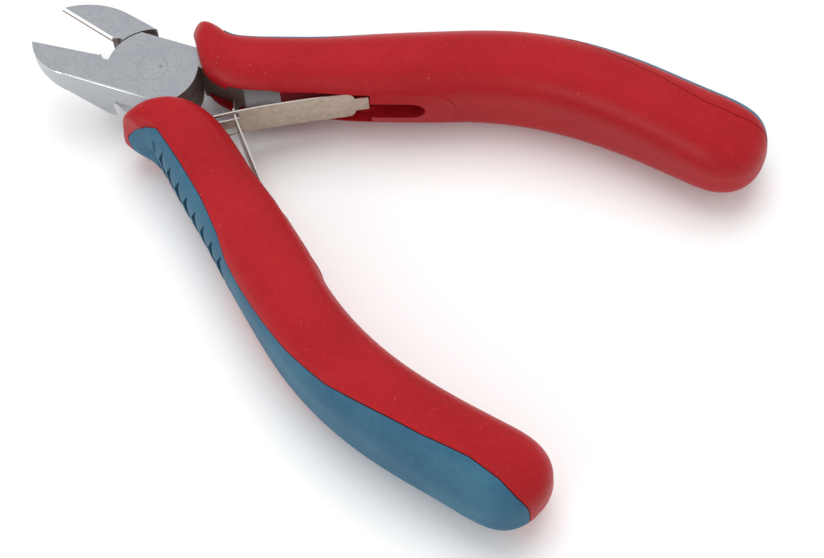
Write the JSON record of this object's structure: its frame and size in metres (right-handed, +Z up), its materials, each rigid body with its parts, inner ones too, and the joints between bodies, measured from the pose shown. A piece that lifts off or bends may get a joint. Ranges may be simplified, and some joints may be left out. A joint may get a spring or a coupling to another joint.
{
  "type": "precision side cutter",
  "caption": "Small lap-joint side cutter with tapered flush-ground jaws, two-colour cushioned grips and crossing leaf springs that open it.",
  "frame": {"origin": "middle of the bounding box, at the level the tool rests on", "axes": "+X along the tool towards the jaw tips, +Y towards the handle of the lower-lap half, +Z up along the joint axis"},
  "size_m": [0.1198, 0.086, 0.0162],
  "materials": {
    "ground_steel": "fine ground tool steel",
    "pin_steel": "ground flush with the lap faces",
    "red_shell": "hard satin plastic, lightly textured",
    "blue_inlay": "soft matt elastomer",
    "spring_steel": "nickel-tinted spring strip"
  },
  "bodies": {
    "lower": {"lower_lap_half": "ground_steel", "joint_pin": "pin_steel", "lower_grip_shell": "red_shell", "lower_grip_inlay": "blue_inlay"},
    "upper": {"upper_lap_half": "ground_steel", "upper_grip_shell": "red_shell", "upper_grip_inlay": "blue_inlay"},
    "first_spring": {"first_leaf_spring": "spring_steel"},
    "second_spring": {"second_leaf_spring": "spring_steel"}
  },
  "joints": [
    {"name": "jaw_pivot", "type": "hinge", "parent": "lower", "child": "upper", "pos_m": [0.03813, 0, 0.00811], "axis": [0, 0, 1], "range_deg": [-21, 0], "stiffness_Nm_per_rad": 0.9, "springref_deg": 17.19},
    {"name": "first_spring_root", "type": "hinge", "parent": "lower", "child": "first_spring", "pos_m": [0.02443, 0.0037, 0.00811], "axis": [0, 0, 1], "range_deg": [-29.8, 0.2]},
    {"name": "second_spring_root", "type": "hinge", "parent": "upper", "child": "second_spring", "pos_m": [0.02443, -0.0037, 0.00811], "axis": [0, 0, 1], "range_deg": [-0.2, 29.8]}
  ],
  "couplings": [
    {"joint": "first_spring_root", "follows": "jaw_pivot", "ratio": 1.4},
    {"joint": "second_spring_root", "follows": "jaw_pivot", "ratio": -1.4}
  ]
}
